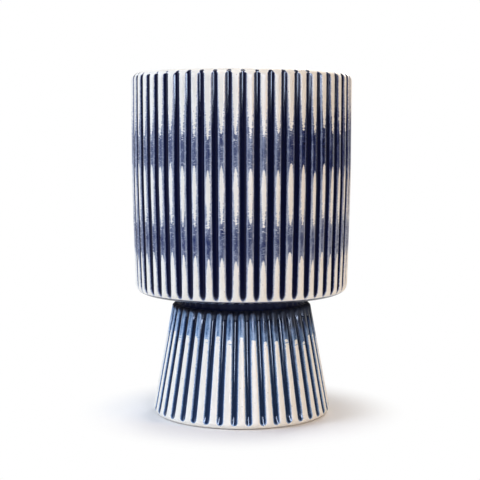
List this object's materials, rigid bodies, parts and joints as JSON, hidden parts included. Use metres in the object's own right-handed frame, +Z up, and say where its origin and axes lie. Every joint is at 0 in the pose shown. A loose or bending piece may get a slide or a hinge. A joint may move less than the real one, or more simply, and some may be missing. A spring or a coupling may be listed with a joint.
{
  "type": "ceramic cachepot",
  "caption": "Fluted stoneware cachepot: a round bowl with a rounded lip, luted onto a flared hollow foot, with dark blue glaze pooled in the flutes. Holds a nursery pot.",
  "frame": {"origin": "middle of the foot's standing ring, on the ground", "axes": "+Z up along the pot's axis, -Y towards the front, +X to the right seen from the front"},
  "size_m": [0.18, 0.18, 0.28],
  "materials": {
    "stoneware": "cream satin glaze on stoneware",
    "cobalt_glaze": "glossy dark blue glaze",
    "cream_glaze": "glossy cream lining glaze",
    "fired_slip": "unglazed fired slip"
  },
  "bodies": {
    "root": {"bowl": "stoneware", "bowl_flute_glaze": "cobalt_glaze", "bowl_lining_glaze": "cream_glaze", "foot": "stoneware", "foot_flute_glaze": "cobalt_glaze", "luting_seam": "fired_slip", "neck_glaze": "cobalt_glaze"}
  },
  "joints": []
}
